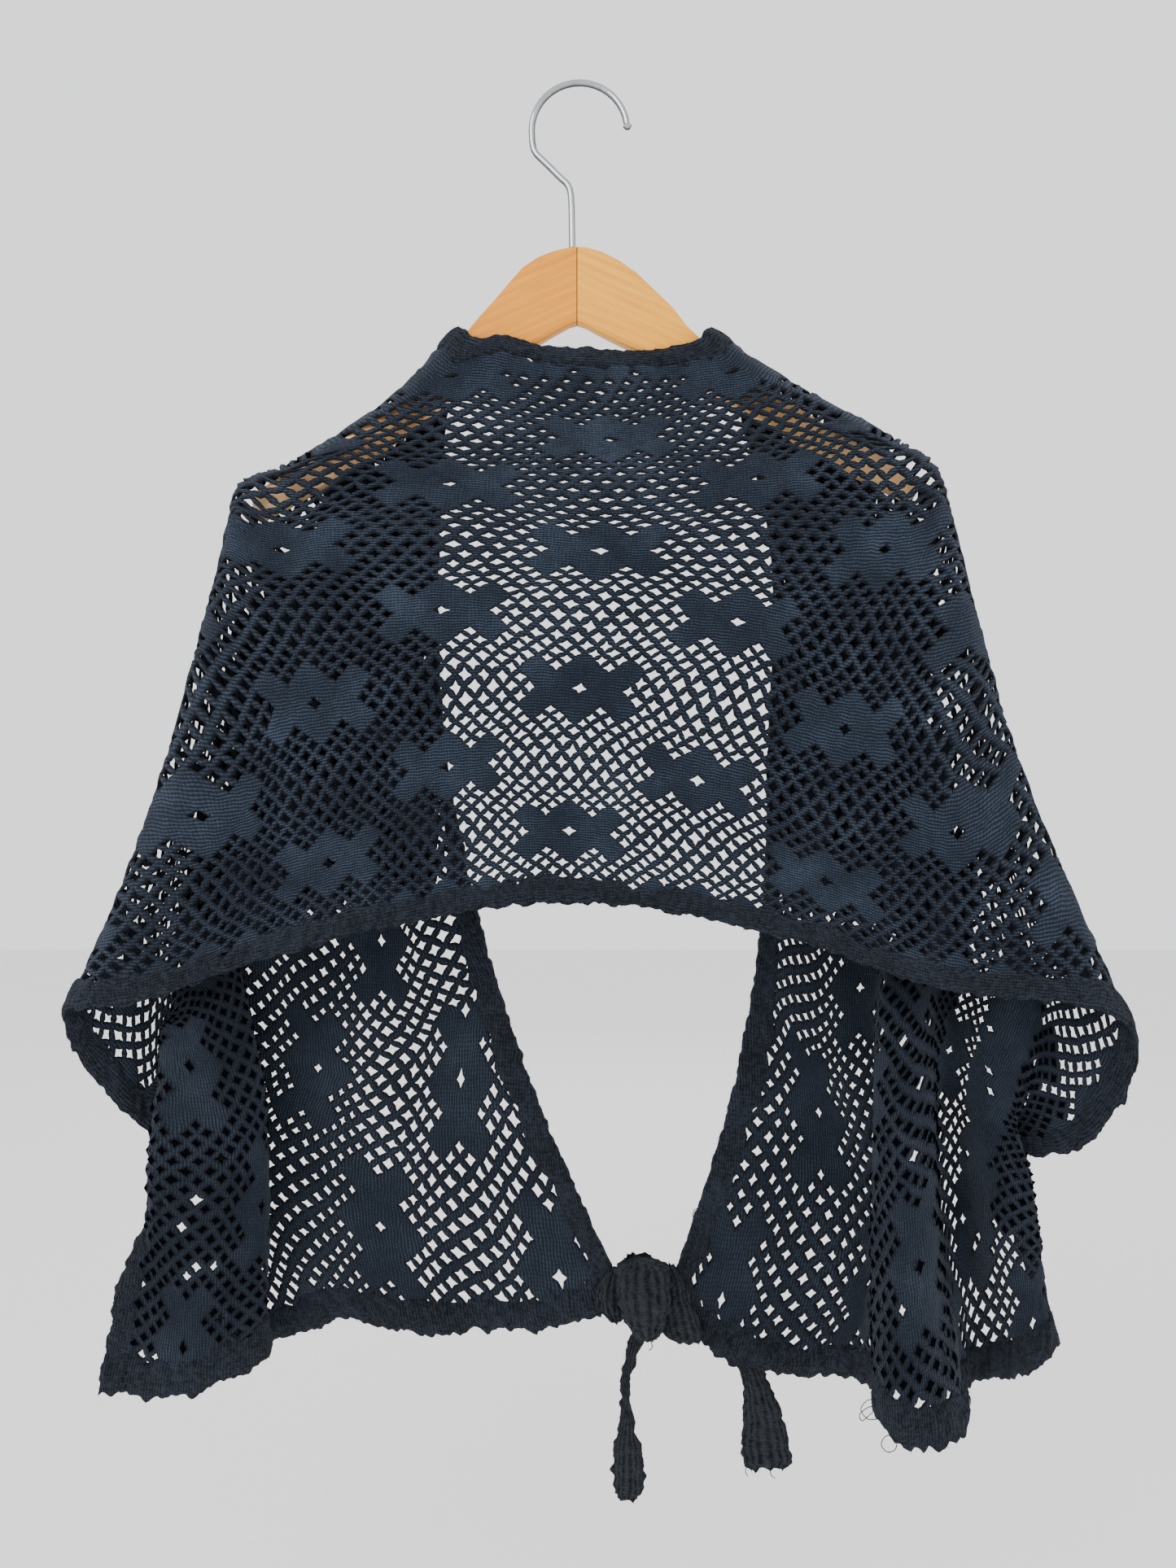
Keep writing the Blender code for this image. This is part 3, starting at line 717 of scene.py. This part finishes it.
# A knotted or hanging end of the tie: rings from a table, ridged and lumpy
def tieMesh(name, part, seed):
    draw = np.random.default_rng(seed)
    rows = np.array(part["rows"], float)
    gone = np.concatenate([[0], np.cumsum(np.linalg.norm(np.diff(rows[:, :3], axis=0), axis=1))])
    count = int(gone[-1] / part["step"])
    at = np.linspace(0, gone[-1], count)
    x, y, z, wide, thick, turn = smooth(at, gone, rows).T
    around = part["around"]
    angle = np.arange(around) * 2 * np.pi / around
    spots = np.zeros((count, around, 3))
    lumps = surfaceNoise(count, around, draw) * part["lump"]
    ridge = part["ridge"] * np.cos(part["ridges"] * angle)[None, :] + lumps
    endFall = np.clip(np.minimum(at, gone[-1] - at) / 2.5, 0.55, 1) ** 0.5
    a = (wide * endFall)[:, None] * np.sign(np.cos(angle)) * np.abs(np.cos(angle)) ** 0.85
    b = (thick * endFall)[:, None] * np.sign(np.sin(angle)) * np.abs(np.sin(angle)) ** 0.85
    a = a + ridge * np.cos(angle)
    b = b + ridge * np.sin(angle)
    c, d = np.cos(np.radians(turn))[:, None], np.sin(np.radians(turn))[:, None]
    spots[..., 0] = x[:, None] + a * c - b * d
    spots[..., 1] = y[:, None] + a * d + b * c
    rise = np.zeros((count, around))
    rise[: part["frill"]] += np.clip(bumps(around, 1.0, draw), -0.4, 2) * part["fringe"]
    rise[-part["frill"] :] -= np.clip(bumps(around, 1.0, draw), -0.4, 2) * part["fringe"]
    spots[..., 2] = z[:, None] + rise
    flat = np.stack([np.broadcast_to(angle * 5, spots.shape[:2]), np.broadcast_to(at[:, None], spots.shape[:2])], -1)
    return tubeMesh(name, spots, flat)


# A thread along points in mm
def threadMesh(name, runs, thick):
    points, faces = [], []
    for run in runs:
        run = np.array(run, float)
        fine = np.linspace(0, len(run) - 1, len(run) * 5)
        run = smooth(fine, np.arange(len(run), dtype=float), run)
        ahead = np.gradient(run, axis=0)
        ahead /= np.linalg.norm(ahead, axis=1, keepdims=True)
        side = np.cross(ahead, np.array([0.05, 1.0, 0.1]))
        side /= np.linalg.norm(side, axis=1, keepdims=True)
        top = np.cross(side, ahead)
        base = len(points)
        for p, u, v in zip(run, side, top):
            for n in range(6):
                points.append(p + thick / 2 * (u * math.cos(n * math.pi / 3) + v * math.sin(n * math.pi / 3)))
        for r in range(len(run) - 1):
            for n in range(6):
                m = (n + 1) % 6
                row = base + r * 6
                faces.append((row + n, row + m, row + 6 + m, row + 6 + n))
        faces.append(tuple(base + n for n in range(5, -1, -1)))
        faces.append(tuple(base + (len(run) - 1) * 6 + n for n in range(6)))
    points = np.array(points)
    made = meshPiece(name, points, faces, points[:, [0, 2]])
    faceOut(made)
    return made


# Short fibres that stand off the knit: thin spikes on a piece's own points
def fuzzMesh(name, pieces, look, seed):
    draw = np.random.default_rng(seed)
    points, faces = [], []
    share = np.array([len(piece.data.vertices) for piece in pieces], float)
    share = (look["count"] * share / share.sum()).astype(int)
    for piece, number in zip(pieces, share):
        mesh = piece.data
        place = np.zeros(len(mesh.vertices) * 3, np.float32)
        normal = np.zeros(len(mesh.vertices) * 3, np.float32)
        mesh.vertices.foreach_get("co", place)
        mesh.vertices.foreach_get("normal", normal)
        pick = draw.integers(0, len(mesh.vertices), number)
        foot = place.reshape(-1, 3)[pick] * 1000
        sign = draw.choice((1.0, look["back"]), (number, 1))
        lean = normal.reshape(-1, 3)[pick] * sign + draw.normal(0, look["spread"], (number, 3))
        lean /= np.linalg.norm(lean, axis=1, keepdims=True)
        side = np.cross(lean, draw.normal(0, 1, (number, 3)))
        side /= np.linalg.norm(side, axis=1, keepdims=True)
        other = np.cross(lean, side)
        tip = foot + lean * draw.uniform(look["short"], look["long"], (number, 1))
        foot = foot - lean * 0.3
        r = look["thick"] / 2
        for n in range(number):
            base = len(points)
            for turn in (0.0, 2.0944, 4.1888):
                points.append(foot[n] + r * (side[n] * math.cos(turn) + other[n] * math.sin(turn)))
            points.append(tip[n])
            faces += [(base, base + 1, base + 3), (base + 1, base + 2, base + 3), (base + 2, base, base + 3)]
            faces.append((base, base + 2, base + 1))
    points = np.array(points)
    return meshPiece(name, points, faces, points[:, [0, 2]])


# Node maths on sockets
class Socket:
    tree = None

    def __init__(self, value):
        self.value = value

    @staticmethod
    def node(kind, settings=None, inputs=None, output=0):
        made = Socket.tree.nodes.new(kind)
        for key, value in (settings or {}).items():
            setattr(made, key, value)
        for key, value in (inputs or {}).items():
            Socket.put(value, made.inputs[key])
        return Socket(made.outputs[output])

    @staticmethod
    def put(value, target):
        if isinstance(value, Socket):
            Socket.tree.links.new(value.value, target)
        else:
            target.default_value = value

    def maths(self, operation, other=None, third=None):
        inputs = {0: self}
        if other is not None:
            inputs[1] = other
        if third is not None:
            inputs[2] = third
        return Socket.node("ShaderNodeMath", {"operation": operation}, inputs)

    def __add__(self, other):
        return self.maths("ADD", other)

    def __radd__(self, other):
        return self.maths("ADD", other)

    def __sub__(self, other):
        return self.maths("SUBTRACT", other)

    def __rsub__(self, other):
        return Socket.node("ShaderNodeMath", {"operation": "SUBTRACT"}, {0: other, 1: self})

    def __mul__(self, other):
        return self.maths("MULTIPLY", other)

    def __rmul__(self, other):
        return self.maths("MULTIPLY", other)

    def __truediv__(self, other):
        return self.maths("DIVIDE", other)

    def __rtruediv__(self, other):
        return Socket.node("ShaderNodeMath", {"operation": "DIVIDE"}, {0: other, 1: self})

    def __neg__(self):
        return self.maths("MULTIPLY", -1.0)

    def __abs__(self):
        return self.maths("ABSOLUTE")

    def sine(self):
        return self.maths("SINE")

    def power(self, other):
        return self.maths("POWER", other)

    def clamp(self):
        return Socket.node("ShaderNodeClamp", {}, {0: self})

    def remap(self, low, high, newLow=0.0, newHigh=1.0):
        inputs = {1: low, 2: high, 3: newLow, 4: newHigh, 0: self}
        return Socket.node("ShaderNodeMapRange", {}, inputs)


def mixColour(factor, a, b, blend="MIX"):
    made = Socket.node("ShaderNodeMix", {"data_type": "RGBA", "blend_type": blend}, {0: factor}, 2)
    Socket.put(a, made.value.node.inputs[6])
    Socket.put(b, made.value.node.inputs[7])
    return made


def material(name, build):
    made = bpy.data.materials.new(name)
    made.use_nodes = True
    tree = made.node_tree
    shader = tree.nodes["Principled BSDF"]
    Socket.tree = tree
    for key, value in build().items():
        Socket.put(value, shader.inputs[key])
    return made


def objectPoint():
    return Socket.node("ShaderNodeTexCoord", output="Object")


def clothPoint():
    return Socket.node("ShaderNodeUVMap", {"uv_map": "cloth"})


def noise(vector, scale, detail=3.0, rough=0.55, output=0):
    inputs = {"Vector": vector, "Scale": scale, "Detail": detail, "Roughness": rough}
    return Socket.node("ShaderNodeTexNoise", {}, inputs, output)


def xyz(vector):
    made = Socket.node("ShaderNodeSeparateXYZ", {}, {0: vector}).value.node
    return [Socket(made.outputs[n]) for n in range(3)]


def bump(height, strength, distance):
    return Socket.node("ShaderNodeBump", {}, {"Height": height, "Strength": strength, "Distance": distance}, 0)


def knitLook(look):
    def build():
        place = clothPoint()
        spot = objectPoint()
        s, t, _ = xyz(place)
        wobble = noise(spot, 240.0, 2.0) - 0.5
        course = (s * (math.tau / look["wale"]) + wobble * 1.4).sine()
        wale = (t * (math.tau / look["course"]) + wobble * 1.6).sine()
        knit = course * look["along"] + wale * (1 - look["along"])
        fuzz = noise(spot, 1700.0, 3.0, 0.7)
        terry = noise(spot, look["terry"], 2.0, 0.6).remap(0.3, 0.7)
        patch = noise(spot, 26.0, 4.0, 0.6)
        height = knit * 0.3 + fuzz * 0.7 + terry * look["nap"]
        tone = knit * look["rib"] + fuzz * 1.5 + patch * 1.2 + terry * look["nap"] * 0.7 - 1.3
        # Painted shade: the strands darken toward each hole's rim, where their sides fall into shade
        rim = Socket.node("ShaderNodeAttribute", {"attribute_name": "rim"}, output="Fac")
        shade = rim.remap(0.22, 0.85, 0.0, look["rim"])
        colour = mixColour(tone.clamp(), look["dark"], look["light"])
        return {
            "Base Color": mixColour(shade, colour, look["deep"]),
            "Roughness": fuzz.remap(0.3, 0.7, 0.84, 0.97),
            "Normal": bump(height, look["strength"], look["relief"]),
            "Specular IOR Level": look["gloss"],
            "Sheen Weight": look["sheen"],
            "Sheen Roughness": 0.42,
            "Sheen Tint": (0.62, 0.70, 0.88, 1.0),
        }

    return build


# The grain runs down each arm, by its turn in degrees
def woodLook(dark, light, turn):
    def build():
        spot = objectPoint()
        turned = Socket.node("ShaderNodeMapping", {}, {"Vector": spot, "Rotation": (0.0, math.radians(turn), 0.0)})
        stretched = Socket.node("ShaderNodeMapping", {}, {"Vector": turned, "Scale": (6.0, 45.0, 105.0)})
        rings = Socket.node(
            "ShaderNodeTexWave",
            {"wave_type": "BANDS", "bands_direction": "Z"},
            {"Vector": stretched, "Scale": 0.55, "Distortion": 3.4, "Detail": 3.0, "Detail Scale": 1.2},
            1,
        )
        grain = noise(stretched, 5.0, 5.0, 0.65)
        pore = noise(stretched, 26.0, 2.0, 0.6)
        tone = (rings * 0.14 + grain * 1.1 - 0.12).clamp()
        colour = mixColour(tone, dark, light)
        x, y, z = xyz(spot)
        # Painted light: the wood turns paler toward the arms' ends, which lie in the lace's shade
        paintedEndLight = (abs(x) * 1000.0).remap(70.0, 150.0)
        colour = mixColour(paintedEndLight * 0.85, colour, (0.97, 0.62, 0.34, 1.0))
        colour = mixColour(pore.remap(0.56, 0.72, 0.0, 0.35), colour, (0.36, 0.17, 0.05, 1.0))
        return {
            "Base Color": colour,
            "Roughness": grain.remap(0.3, 0.7, 0.34, 0.5),
            "Normal": bump(pore, 0.12, 0.0004),
            "Specular IOR Level": 0.25,
            "Coat Weight": 0.06,
            "Coat Roughness": 0.3,
        }

    return build


# The wire lies in one plane, so its depth there tells its lit middle from its edges
def steelLook():
    spot = objectPoint()
    haze = noise(spot, 300.0, 3.0)
    x, y, z = xyz(spot)
    band = (abs(y) * 500.0 + haze * 0.3).remap(0.5, 1.1)
    return {
        "Base Color": mixColour(band, (0.045, 0.048, 0.055, 1), (0.40, 0.41, 0.43, 1)),
        "Metallic": 1.0,
        "Roughness": haze.remap(0.3, 0.7, 0.12, 0.24),
    }


# The knits' finishes: sizes in metres, except the terry's scale
laceKnit = {
    "dark": (0.004, 0.007, 0.013, 1),
    "light": (0.047, 0.066, 0.1, 1),
    # deep and rim: the colour and amount of the painted shade at the holes' rims
    "deep": (0.0015, 0.002, 0.0035, 1),
    "rim": 0.92,
    "wale": 0.0019,
    "course": 0.0016,
    "along": 0.25,
    "rib": 0.42,
    "gloss": 0.15,
    "sheen": 0.08,
    "terry": 420.0,
    "nap": 0.25,
    "strength": 0.8,
    "relief": 0.0012,
}
# A darker copy of the lace finish for the fronts: painted shade, as they hang in the back's shade
frontShadedKnit = {**laceKnit, "light": (0.034, 0.044, 0.063, 1)}
hemKnit = {
    **laceKnit,
    "dark": (0.001, 0.0015, 0.003, 1),
    "light": (0.0195, 0.0265, 0.041, 1),
    "sheen": 0.05,
    "rim": 0.0,
    "terry": 360.0,
    "nap": 1.2,
    "strength": 1.0,
    "relief": 0.0022,
}
tieKnit = {**hemKnit, "light": (0.0235, 0.0270, 0.0345, 1), "along": 0.8, "wale": 0.0019, "rib": 0.6, "nap": 1.4}
# A near-black copy of the lace finish for the sheets that close holes: painted shade
paintedShadeKnit = {
    **laceKnit,
    "dark": (0.0002, 0.0003, 0.0005, 1),
    "light": (0.0012, 0.0016, 0.0024, 1),
    "gloss": 0.0,
    "sheen": 0.0,
}
laceMaterial = material("laceKnit", knitLook(laceKnit))
frontShadedMaterial = material("frontShadedKnit", knitLook(frontShadedKnit))
hemMaterial = material("hemKnit", knitLook(hemKnit))
tieMaterial = material("tieKnit", knitLook(tieKnit))
paintedShadeMaterial = material("laceShade", knitLook(paintedShadeKnit))
woodLeft = material("woodLeft", woodLook((0.50, 0.14, 0.004, 1), (0.83, 0.34, 0.012, 1), 24))
woodRight = material("woodRight", woodLook((0.60, 0.20, 0.01, 1), (0.93, 0.45, 0.03, 1), -24))
woodJoint = material("woodJoint", lambda: {"Base Color": (0.10, 0.035, 0.01, 1), "Roughness": 0.8})
steel = material("hookSteel", steelLook)
print("stage: materials made")

laces = {
    "laceBack": ("back_and_shoulders", -cloth["seam"], cloth["seam"], 11, laceMaterial, (0.344, 0.73)),
    "laceLeft": ("left_front", -3.0, -cloth["seam"], 12, frontShadedMaterial, (0.344, 0.47)),
    "laceRight": ("right_front", cloth["seam"], 3.0, 13, frontShadedMaterial, (0.344, 0.47)),
}
sheets, trims = {}, {}
for name, (node, first, last, seed, finish, flat) in laces.items():
    piece, area = laceMesh(name, first, last, seed, finish)
    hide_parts(node)
    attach(piece, "root")
    sheets[name] = (piece, flat, area)
    print("stage:", name, len(piece.data.vertices), "points,", round(area, 4), "square metres")

hems = {
    "hemNeck": (("neck_hem", "left_front_edge", "right_front_edge"), ("inner", -1.99, 1.99), 13.0, 5.0, 0.45, 0.4, 21),
    "hemLower": (("back_hem", "left_side_hem", "right_side_hem"), ("outer", -1.99, 1.99), 14.0, 4.6, 0.75, 0.7, 22),
    "hemLeftEnd": (("left_end_hem",), ("leftEnd", 0.0, 1.0), 21.0, 5.2, 1.15, 1.3, 23),
    "hemRightEnd": (("right_end_hem",), ("rightEnd", 0.0, 1.0), 21.0, 5.2, 1.15, 1.3, 24),
}
for name, (nodes, path, wide, thick, lump, picot, seed) in hems.items():
    piece = hemMesh(name, path, wide, thick, lump, picot, seed)
    piece.data.materials.append(hemMaterial)
    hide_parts(*nodes)
    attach(piece, "root")
    trims[name] = piece
    print("stage:", name, len(piece.data.vertices), "points")

# The tie. Columns: x, y, z, half width, half thickness, turn in degrees.
tie = {
    "tieKnot": {
        "node": "knot",
        "rows": (
            (37.6, 2, -708.5, 14.2, 11, 0),
            (37.8, 1, -714, 15.2, 13.5, 0),
            (38.2, 0, -722, 16.0, 15.2, 0),
            (39.0, 0, -731, 15.4, 15.6, 0),
            (39.6, 1, -741, 12.8, 14.5, 0),
            (40.6, 3, -750, 9.2, 12, 0),
            (40.6, 4.5, -756.5, 5, 7, 0),
        ),
        "step": 1.3,
        "around": 64,
        "ridge": 0.6,
        "ridges": 15,
        "lump": 0.75,
        "frill": 2,
        "fringe": 1.3,
    },
    "tieLeftRoot": {
        "node": "knot",
        "rows": (
            (21.5, 8, -715, 3.5, 3, 0),
            (20.5, 8, -722, 7.5, 4.5, 0),
            (19.5, 8, -731, 9.5, 5.5, 0),
            (20, 8, -740, 8.5, 5, 0),
            (22, 8, -747, 4, 3.5, 0),
        ),
        "step": 1.4,
        "around": 34,
        "ridge": 0.2,
        "ridges": 9,
        "lump": 0.6,
        "frill": 2,
        "fringe": 0.8,
    },
    "tieRightRoot": {
        "node": "knot",
        "rows": (
            (55, 6, -713, 3.5, 3.5, 0),
            (57, 7, -722, 6.5, 5, 0),
            (58.5, 8, -733, 9, 6, 0),
            (60.5, 9, -744, 11.5, 6.5, 0),
            (63, 10, -754, 12, 6, 0),
            (66, 11, -761, 8, 4.5, 0),
        ),
        "step": 1.4,
        "around": 38,
        "ridge": 0.25,
        "ridges": 11,
        "lump": 0.7,
        "frill": 2,
        "fringe": 1.0,
    },
    "tieLeftTail": {
        "node": "left_tail",
        "rows": (
            (36.5, 4.5, -752, 4.2, 2.6, 0),
            (32.5, 3, -762, 3.9, 2.4, 15),
            (28.3, 2, -775, 3.7, 2.2, 40),
            (27.7, 2, -791, 3.2, 2.2, 75),
            (28.2, 2, -803, 4.4, 2.1, 30),
            (28.8, 2, -820, 8, 2.1, 8),
            (29.3, 2, -838, 9.4, 2.2, -5),
            (29, 3, -852, 7.6, 2, -10),
        ),
        "step": 1.4,
        "around": 26,
        "ridge": 0.34,
        "ridges": 7,
        "lump": 0.55,
        "frill": 2,
        "fringe": 1.5,
    },
    "tieRightTail": {
        "node": "right_tail",
        "rows": (
            (50, 18.5, -737, 4, 2.2, 60),
            (60, 19.5, -747, 6, 2.2, 25),
            (72, 21.2, -758, 7, 2.2, 12),
            (87, 22.8, -768, 7, 2.2, 8),
            (103, 24.6, -779, 7.4, 2.2, 0),
            (110, 25, -794, 8, 2.2, -5),
            (114, 25, -815, 12, 2, -8),
            (116.5, 24.5, -838, 15, 2.2, -4),
            (117.5, 24.5, -846, 14.4, 2, 0),
        ),
        "step": 1.5,
        "around": 34,
        "ridge": 0.5,
        "ridges": 7,
        "lump": 0.6,
        "frill": 3,
        "fringe": 2.0,
    },
}
for seed, (name, part) in enumerate(tie.items(), 41):
    piece = tieMesh(name, part, seed)
    piece.data.materials.append(tieMaterial)
    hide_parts(part["node"])
    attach(piece, "root")
    trims[name] = piece
    print("stage:", name, len(piece.data.vertices), "points")

# Threads that have worked loose, in mm
threads = {
    "thick": 0.55,
    "runs": (
        ((170.5, -34, -778), (166, -33, -779.5), (161.5, -33, -783.5), (163, -33, -787), (168, -33, -783), (171.5, -34, -779.5)),
        ((170.5, -34, -774), (165.5, -34, -775), (162, -34, -780), (166, -34, -785.5), (171.5, -35, -785)),
        ((178.5, -44, -789), (173.5, -44, -790.5), (171.4, -44, -795), (174.5, -44, -799), (179, -44, -798), (180.2, -44, -793.5), (178.2, -44, -789)),
        ((222.5, -20, -781), (226, -20, -777.5), (229, -20, -779.5), (229.5, -20, -784)),
        ((41.5, 2, -755), (43.3, 2, -757.5), (43.8, 2, -760.5), (42, 2, -762.5)),
        ((73, 19, -682), (70.5, 19, -684), (70, 19, -688), (71.2, 19, -690)),
        ((118, 24, -846), (119, 24, -850), (121.5, 24, -852)),
        ((104, 24, -844), (103, 24, -848), (104.5, 24, -850.5)),
    ),
}
piece = threadMesh("looseThreads", threads["runs"], threads["thick"])
piece.data.materials.append(hemMaterial)
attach(piece, "root")
trims[piece.name] = piece

coats = {
    "fuzzFibres": (list(trims.values())[:-1], fuzz["hems"], hemMaterial, "hem", 51),
    "laceFibres": ([sheet[0] for sheet in sheets.values()], fuzz["laces"], laceMaterial, "lace", 52),
}
for name, (pieces, look, finish, slot, seed) in coats.items():
    piece = fuzzMesh(name, pieces, look, seed)
    piece.data.materials.append(finish)
    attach(piece, "root")
    trims[name] = piece
    print("stage:", name, len(piece.data.vertices), "points")

for name, (piece, flat, area) in sheets.items():
    rests = ["hanger_left", "hanger_right"] if name == "laceBack" else ["laceBack"]

# The glued joint down the middle of the hanger, in mm. Its corners are round as the wood's are.
glueLine = {"middle": (-1.5, 0.0, -120.8), "size": (0.5, 10.4, 45.4), "round": 2.8, "steps": 3}
bpy.ops.object.select_all(action="DESELECT")
bpy.ops.mesh.primitive_cube_add(size=0.001, location=[v * 0.001 for v in glueLine["middle"]])
piece = bpy.context.object
piece.name = "glueLine"
piece.scale = glueLine["size"]
bpy.ops.object.transform_apply(location=True, rotation=True, scale=True)
bpy.ops.object.mode_set(mode="EDIT")
bpy.ops.mesh.select_all(action="DESELECT")
bpy.ops.object.mode_set(mode="OBJECT")
for edge in piece.data.edges:
    start, stop = (piece.data.vertices[v].co for v in edge.vertices)
    edge.select = abs(start.x - stop.x) > 1e-5
bpy.ops.object.mode_set(mode="EDIT")
bpy.ops.mesh.select_mode(type="EDGE")
bpy.ops.mesh.bevel(offset=glueLine["round"] * 0.001, segments=glueLine["steps"])
bpy.ops.object.mode_set(mode="OBJECT")
piece.data.materials.append(woodJoint)
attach(piece, "root")
print("stage: glue line,", len(piece.data.vertices), "points")

for name, look in (("hanger_left", woodLeft), ("hanger_right", woodRight), ("hook", steel)):
    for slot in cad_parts[name].material_slots:
        slot.material = look

# Floor, light and camera
bpy.ops.mesh.primitive_plane_add(size=8.0, location=(0, 0, -1.05))
floor = bpy.context.object
floor.name = "floor"
floor.data.materials.append(
    material("floorPaint", lambda: {"Base Color": (0.86, 0.86, 0.85, 1), "Roughness": 0.9})
)

lamps = (
    ("keyLight", (-1.1, -1.5, 0.5), (0.0, 0.0, -0.45), 1.4, 30.0, (1.0, 0.985, 0.96)),
    ("fillLight", (1.5, -1.3, 0.0), (0.0, 0.0, -0.45), 1.6, 13.0, (0.95, 0.97, 1.0)),
    ("backLight", (0.2, 1.8, 0.4), (0.0, 0.0, -0.45), 1.8, 8.0, (1.0, 1.0, 1.0)),
)
for name, place, aim, size, power, colour in lamps:
    light = bpy.data.lights.new(name, "AREA")
    light.size = size
    light.energy = power
    light.color = colour
    lamp = bpy.data.objects.new(name, light)
    bpy.context.scene.collection.objects.link(lamp)
    direction = np.array(aim) - np.array(place)
    lamp.location = place
    pitch = math.atan2(math.hypot(direction[0], direction[1]), -direction[2])
    lamp.rotation_euler = (pitch, 0, math.atan2(direction[0], -direction[1]) + math.pi)

world = bpy.data.worlds.new("paleRoom")
bpy.context.scene.world = world
world.use_nodes = True
world.node_tree.nodes["Background"].inputs[0].default_value = (0.95, 0.96, 0.97, 1)
world.node_tree.nodes["Background"].inputs[1].default_value = 1.6

view = {"place": (0.0051, -0.75, -0.4203), "lens": 1530 / 1927 * 36}
camera = bpy.data.cameras.new("camera")
camera.lens = view["lens"]
camera.sensor_width = 36
camera.clip_start = 0.02
eye = bpy.data.objects.new("camera", camera)
eye.location = view["place"]
eye.rotation_euler = (math.radians(90), 0, 0)
bpy.context.scene.collection.objects.link(eye)
bpy.context.scene.camera = eye

print("stage: finished")
